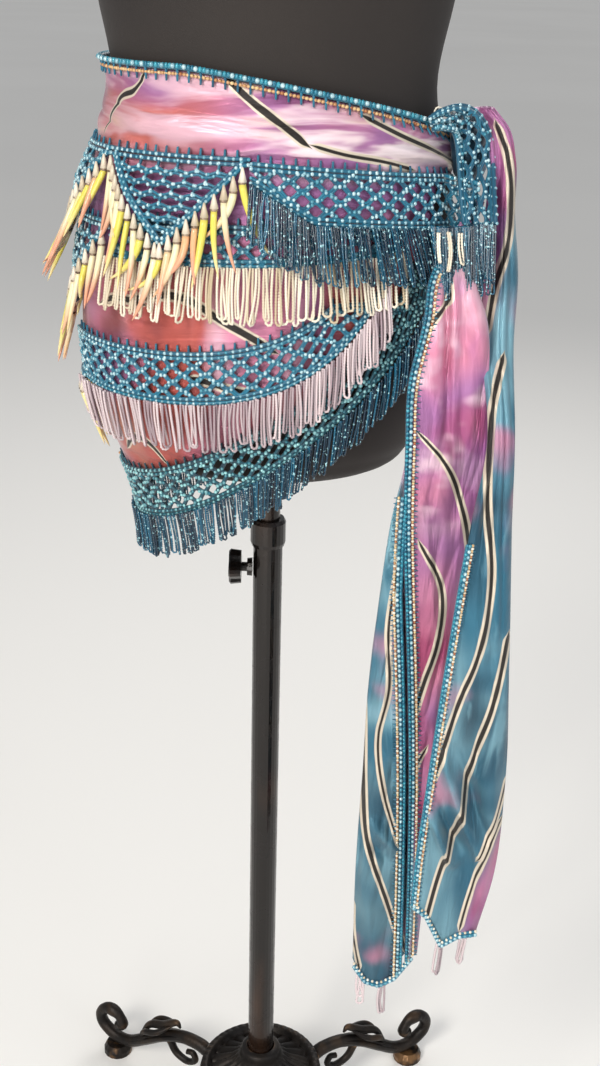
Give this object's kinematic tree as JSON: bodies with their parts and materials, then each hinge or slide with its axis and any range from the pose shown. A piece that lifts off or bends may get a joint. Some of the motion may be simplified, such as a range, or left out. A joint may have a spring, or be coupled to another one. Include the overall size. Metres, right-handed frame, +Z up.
{
  "type": "belly dance hip belt on a limbless dress form with a stand",
  "caption": "Satin hip wrap with tiers of beaded crochet net and bead fringe, tied in a knot with two long tails, on a limbless dress form on a cast tripod.",
  "frame": {"origin": "on the floor, at the middle of the bounding box's underside; the pole's axis stands 6 mm to -X and 39 mm to +Y of it", "axes": "+Z up, -Y towards the form's front, +X towards the tied hip"},
  "size_m": [0.3772, 0.339, 1.6004],
  "materials": {
    "satin": "satin, pink to teal, striped",
    "net": "pearl beads on crocheted thread",
    "dark_beads": "seed beads, glossy",
    "cream_beads": "seed beads, pearly",
    "lilac_beads": "seed beads, pearly",
    "charm": "polished resin, yellow to pink",
    "jersey": "matt knitted cover",
    "painted_iron": "black enamel",
    "cast_iron": "black with rubbed bronze"
  },
  "bodies": {
    "base": {"base_hub": "cast_iron", "base_leg_front": "cast_iron", "base_foot_front": "cast_iron", "base_leg_left": "cast_iron", "base_foot_left": "cast_iron", "base_leg_right": "cast_iron", "base_foot_right": "cast_iron", "outer_tube": "painted_iron", "tube_collar": "painted_iron", "clamp_boss": "painted_iron"},
    "post": {"inner_tube": "painted_iron"},
    "form": {"wrap_cloth": "satin", "knot": "satin", "tail_front": "satin", "tail_side": "satin", "net_1_front": "net", "fringe_1_front": "dark_beads", "net_1_back": "net", "fringe_1_back": "dark_beads", "net_2_front": "net", "fringe_2_front": "cream_beads", "net_2_back": "net", "fringe_2_back": "cream_beads", "net_3_front": "net", "fringe_3_front": "lilac_beads", "net_3_back": "net", "fringe_3_back": "lilac_beads", "net_4_front": "net", "fringe_4_front": "dark_beads", "net_4_back": "net", "fringe_4_back": "dark_beads", "point_front": "net", "charms_front": "charm", "point_centre": "net", "charms_centre": "charm", "point_back": "net", "charms_back": "charm", "point_lower": "net", "charms_lower": "charm", "top_edging": "net", "knot_net": "net", "tail_front_border": "net", "tail_front_border_left": "net", "tail_side_border": "net", "knot_fringe": "dark_beads", "tail_front_hem": "lilac_beads", "tail_side_hem": "lilac_beads", "form_body": "jersey", "neck_cap": "painted_iron", "form_socket": "painted_iron"},
    "clamp_knob": {"clamp_knob": "painted_iron"}
  },
  "joints": [
    {"name": "height", "type": "slide", "parent": "base", "child": "post", "axis": [0, 0, 1], "range_m": [-0.015, 0.22]},
    {"name": "form_turn", "type": "hinge", "parent": "post", "child": "form", "pos_m": [-0.00626, 0.03914, 0.7], "axis": [0, 0, 1], "continuous": true},
    {"name": "clamp_screw", "type": "hinge", "parent": "base", "child": "clamp_knob", "pos_m": [-0.02626, 0.03914, 0.624], "axis": [-1, 0, 0], "range_deg": [-360, 90]}
  ]
}
